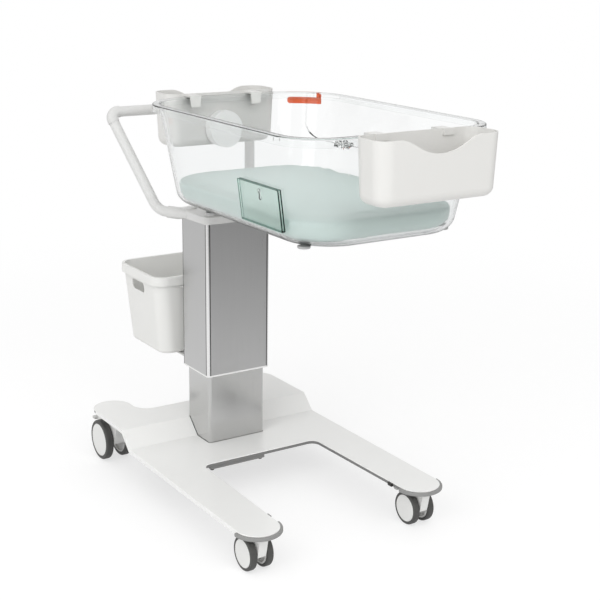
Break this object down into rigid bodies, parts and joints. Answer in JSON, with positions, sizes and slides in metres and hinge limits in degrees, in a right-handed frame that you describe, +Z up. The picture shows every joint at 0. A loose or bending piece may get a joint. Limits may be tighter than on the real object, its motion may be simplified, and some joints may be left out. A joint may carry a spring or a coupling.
{
  "type": "hospital bassinet",
  "caption": "Clear hospital bassinet tub with mattress, drop-down side and hanging trays on a height-adjustable column with push handle, storage bin and wheeled U-shaped base.",
  "frame": {"origin": "on the floor under the middle of the overall length, on the plane through the middle of the base and the column", "axes": "+X towards the foot end of the tub and the tips of the front legs, +Y towards the drop-down side of the tub, +Z up"},
  "size_m": [1.111, 0.538, 0.944],
  "materials": {
    "white_plastic": "satin",
    "white_paint": "satin",
    "grey_paint": "satin",
    "bumper_grey": "matte",
    "box_grey": "satin",
    "dark_fastener": "satin",
    "zinc": "satin",
    "polished_steel": "polished",
    "brushed_steel": "brushed",
    "bright_strip": "satin",
    "dark_plastic": "matte",
    "motor_grey": "matte",
    "clear_plastic": "gloss",
    "foot_rubber": "matte",
    "orange_plastic": "gloss",
    "mint_cover": "matte",
    "green_acrylic": "gloss",
    "caster_grey": "satin",
    "pedal_grey": "satin",
    "tyre": "matte",
    "hub_grey": "satin"
  },
  "bodies": {
    "base": {"base_cover": "white_plastic", "base_frame": "grey_paint", "leg_bumpers": "bumper_grey", "control_box": "box_grey", "base_fasteners": "dark_fastener", "caster_stems": "zinc", "lower_tube": "polished_steel", "tube_glides": "dark_plastic", "lift_motor": "motor_grey"},
    "column_upper": {"column_sleeve": "brushed_steel", "sleeve_corner_strips": "bright_strip", "sleeve_trim": "white_plastic", "lift_rod": "polished_steel", "top_bracket": "white_paint", "bracket_bolts": "zinc", "push_handle": "white_paint", "handle_elbows": "white_paint", "bin_bracket": "white_paint"},
    "tub_carrier": {"tub_cradle": "white_paint", "tilt_pin": "zinc"},
    "tub": {"tub": "clear_plastic", "tub_feet": "foot_rubber", "door_hinge_pins": "zinc"},
    "side_door": {"side_door": "clear_plastic"},
    "door_latch": {"door_latch": "orange_plastic"},
    "mattress": {"mattress": "mint_cover"},
    "foot_tray": {"foot_tray": "white_plastic", "foot_tray_spacer": "white_plastic"},
    "head_tray": {"head_tray": "white_plastic", "head_tray_spacer": "white_plastic"},
    "storage_bin": {"storage_bin": "white_plastic"},
    "card_holder": {"card_holder": "green_acrylic"},
    "rear_left_caster": {"rear_left_caster_housing": "caster_grey", "rear_left_caster_axle": "zinc"},
    "rear_left_caster_outer_wheel": {"rear_left_caster_outer_tyre": "tyre", "rear_left_caster_outer_hub": "hub_grey"},
    "rear_left_caster_inner_wheel": {"rear_left_caster_inner_tyre": "tyre", "rear_left_caster_inner_hub": "hub_grey"},
    "rear_left_caster_pedal": {"rear_left_caster_brake_pedal": "pedal_grey"},
    "rear_right_caster": {"rear_right_caster_housing": "caster_grey", "rear_right_caster_axle": "zinc"},
    "rear_right_caster_outer_wheel": {"rear_right_caster_outer_tyre": "tyre", "rear_right_caster_outer_hub": "hub_grey"},
    "rear_right_caster_inner_wheel": {"rear_right_caster_inner_tyre": "tyre", "rear_right_caster_inner_hub": "hub_grey"},
    "rear_right_caster_pedal": {"rear_right_caster_brake_pedal": "pedal_grey"},
    "front_left_caster": {"front_left_caster_housing": "caster_grey", "front_left_caster_axle": "zinc"},
    "front_left_caster_outer_wheel": {"front_left_caster_outer_tyre": "tyre", "front_left_caster_outer_hub": "hub_grey"},
    "front_left_caster_inner_wheel": {"front_left_caster_inner_tyre": "tyre", "front_left_caster_inner_hub": "hub_grey"},
    "front_left_caster_pedal": {"front_left_caster_brake_pedal": "pedal_grey"},
    "front_right_caster": {"front_right_caster_housing": "caster_grey", "front_right_caster_axle": "zinc"},
    "front_right_caster_outer_wheel": {"front_right_caster_outer_tyre": "tyre", "front_right_caster_outer_hub": "hub_grey"},
    "front_right_caster_inner_wheel": {"front_right_caster_inner_tyre": "tyre", "front_right_caster_inner_hub": "hub_grey"},
    "front_right_caster_pedal": {"front_right_caster_brake_pedal": "pedal_grey"}
  },
  "joints": [
    {"name": "column_lift", "type": "slide", "parent": "base", "child": "column_upper", "axis": [0, 0, 1], "range_m": [-0.13, 0.12]},
    {"name": "tub_tilt", "type": "hinge", "parent": "column_upper", "child": "tub_carrier", "pos_m": [-0.2265, 0, 0.69], "axis": [0, 1, 0], "range_deg": [-10, 10]},
    {"name": "tub_lift", "type": "slide", "parent": "tub_carrier", "child": "tub", "axis": [0, 0, 1], "range_m": [0, 0.1]},
    {"name": "side_door_hinge", "type": "hinge", "parent": "tub", "child": "side_door", "pos_m": [-0.2465, 0.22149, 0.832], "axis": [-1, 0, 0], "range_deg": [0, 165]},
    {"name": "latch_slide", "type": "hinge", "parent": "side_door", "child": "door_latch", "pos_m": [-0.1055, 0.107, 0.925], "axis": [0, 0, -1], "range_deg": [0, 26.6]},
    {"name": "mattress_lift", "type": "slide", "parent": "tub", "child": "mattress", "axis": [0, 0, 1], "range_m": [0, 0.15]},
    {"name": "foot_tray_lift", "type": "slide", "parent": "tub", "child": "foot_tray", "axis": [0, 0, 1], "range_m": [0, 0.016]},
    {"name": "head_tray_lift", "type": "slide", "parent": "tub", "child": "head_tray", "axis": [0, 0, 1], "range_m": [0, 0.016]},
    {"name": "bin_lift", "type": "slide", "parent": "column_upper", "child": "storage_bin", "axis": [0, 0, 1], "range_m": [0, 0.08]},
    {"name": "card_holder_lift", "type": "slide", "parent": "tub", "child": "card_holder", "axis": [0, -0.1344, 0.9909], "range_m": [0, 0.014]},
    {"name": "rear_left_caster_swivel", "type": "hinge", "parent": "base", "child": "rear_left_caster", "pos_m": [-0.4185, 0.215, 0.0905], "axis": [0, 0, 1], "continuous": true},
    {"name": "rear_left_caster_outer_wheel_spin", "type": "hinge", "parent": "rear_left_caster", "child": "rear_left_caster_outer_wheel", "pos_m": [-0.4625, 0.215, 0.051], "axis": [0, 1, 0], "continuous": true},
    {"name": "rear_left_caster_inner_wheel_spin", "type": "hinge", "parent": "rear_left_caster", "child": "rear_left_caster_inner_wheel", "pos_m": [-0.4625, 0.215, 0.051], "axis": [0, 1, 0], "continuous": true},
    {"name": "rear_left_caster_pedal_press", "type": "hinge", "parent": "rear_left_caster", "child": "rear_left_caster_pedal", "pos_m": [-0.49412, 0.215, 0.08568], "axis": [0, -1, 0], "range_deg": [0, 20]},
    {"name": "rear_right_caster_swivel", "type": "hinge", "parent": "base", "child": "rear_right_caster", "pos_m": [-0.4185, -0.215, 0.0905], "axis": [0, 0, 1], "continuous": true},
    {"name": "rear_right_caster_outer_wheel_spin", "type": "hinge", "parent": "rear_right_caster", "child": "rear_right_caster_outer_wheel", "pos_m": [-0.4625, -0.215, 0.051], "axis": [0, 1, 0], "continuous": true},
    {"name": "rear_right_caster_inner_wheel_spin", "type": "hinge", "parent": "rear_right_caster", "child": "rear_right_caster_inner_wheel", "pos_m": [-0.4625, -0.215, 0.051], "axis": [0, 1, 0], "continuous": true},
    {"name": "rear_right_caster_pedal_press", "type": "hinge", "parent": "rear_right_caster", "child": "rear_right_caster_pedal", "pos_m": [-0.49412, -0.215, 0.08568], "axis": [0, -1, 0], "range_deg": [0, 20]},
    {"name": "front_left_caster_swivel", "type": "hinge", "parent": "base", "child": "front_left_caster", "pos_m": [0.2725, 0.215, 0.0905], "axis": [0, 0, 1], "continuous": true},
    {"name": "front_left_caster_outer_wheel_spin", "type": "hinge", "parent": "front_left_caster", "child": "front_left_caster_outer_wheel", "pos_m": [0.2485, 0.215, 0.0385], "axis": [0, 1, 0], "continuous": true},
    {"name": "front_left_caster_inner_wheel_spin", "type": "hinge", "parent": "front_left_caster", "child": "front_left_caster_inner_wheel", "pos_m": [0.2485, 0.215, 0.0385], "axis": [0, 1, 0], "continuous": true},
    {"name": "front_left_caster_pedal_press", "type": "hinge", "parent": "front_left_caster", "child": "front_left_caster_pedal", "pos_m": [0.22463, 0.215, 0.06468], "axis": [0, -1, 0], "range_deg": [0, 20]},
    {"name": "front_right_caster_swivel", "type": "hinge", "parent": "base", "child": "front_right_caster", "pos_m": [0.2725, -0.215, 0.0905], "axis": [0, 0, 1], "continuous": true},
    {"name": "front_right_caster_outer_wheel_spin", "type": "hinge", "parent": "front_right_caster", "child": "front_right_caster_outer_wheel", "pos_m": [0.2485, -0.215, 0.0385], "axis": [0, 1, 0], "continuous": true},
    {"name": "front_right_caster_inner_wheel_spin", "type": "hinge", "parent": "front_right_caster", "child": "front_right_caster_inner_wheel", "pos_m": [0.2485, -0.215, 0.0385], "axis": [0, 1, 0], "continuous": true},
    {"name": "front_right_caster_pedal_press", "type": "hinge", "parent": "front_right_caster", "child": "front_right_caster_pedal", "pos_m": [0.22463, -0.215, 0.06468], "axis": [0, -1, 0], "range_deg": [0, 20]}
  ]
}
